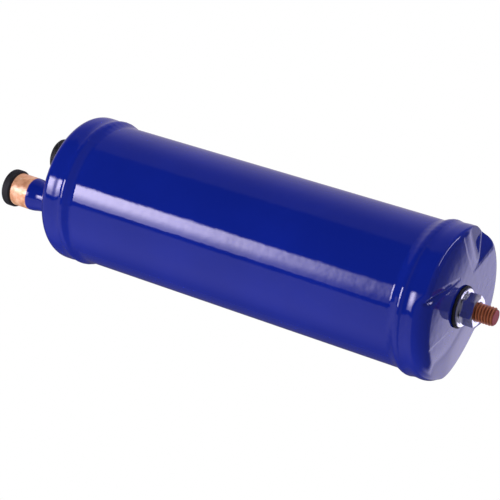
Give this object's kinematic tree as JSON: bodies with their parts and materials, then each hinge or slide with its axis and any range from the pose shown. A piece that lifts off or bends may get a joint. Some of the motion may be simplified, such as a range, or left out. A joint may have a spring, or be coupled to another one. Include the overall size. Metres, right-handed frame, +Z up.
{
  "type": "suction accumulator",
  "caption": "Vertical suction accumulator: welded steel vessel, copper solder sockets on top with rubber plugs, U-tube with oil pick-up inside, threaded mounting stud below.",
  "frame": {"origin": "on the vessel's axis, at the outer face of the bottom head, where a bracket is clamped by the stud", "axes": "+Z up along the vessel's axis towards the sockets; +X from the inlet socket to the outlet socket"},
  "size_m": [0.0804, 0.0804, 0.2832],
  "materials": {
    "blue_paint": "gloss",
    "copper": "satin",
    "coppered_steel": "satin",
    "zinc_plate": "bright",
    "bare_steel": "plain",
    "brass": "turned",
    "black_rubber": "matte"
  },
  "bodies": {
    "vessel": {"shell_tube": "blue_paint", "top_cap": "blue_paint", "bottom_cap": "blue_paint", "top_weld_bead": "blue_paint", "bottom_weld_bead": "blue_paint", "inlet_braze_ring": "blue_paint", "outlet_braze_ring": "blue_paint", "inlet_tube": "copper", "outlet_u_tube": "copper", "baffle_plate": "bare_steel", "steady_strap": "bare_steel", "screen_collar": "bare_steel", "filter_screen": "bare_steel", "screen_end_cap": "bare_steel", "stud_weld": "bare_steel", "orifice_plug": "brass", "mounting_stud": "coppered_steel", "inlet_plug": "black_rubber", "outlet_plug": "black_rubber"},
    "washers": {"rubber_washer": "black_rubber", "flat_washer": "zinc_plate"},
    "nut": {"mounting_nut": "zinc_plate"}
  },
  "joints": [
    {"name": "nut_travel", "type": "slide", "parent": "vessel", "child": "washers", "axis": [0, 0, -1], "range_m": [0, 0.00635]},
    {"name": "nut_turn", "type": "hinge", "parent": "washers", "child": "nut", "pos_m": [0, 0, 0], "axis": [0, 0, -1], "range_deg": [0, 1440]}
  ],
  "couplings": [
    {"joint": "nut_travel", "follows": "nut_turn", "m_per_rad": 0.00025266}
  ]
}
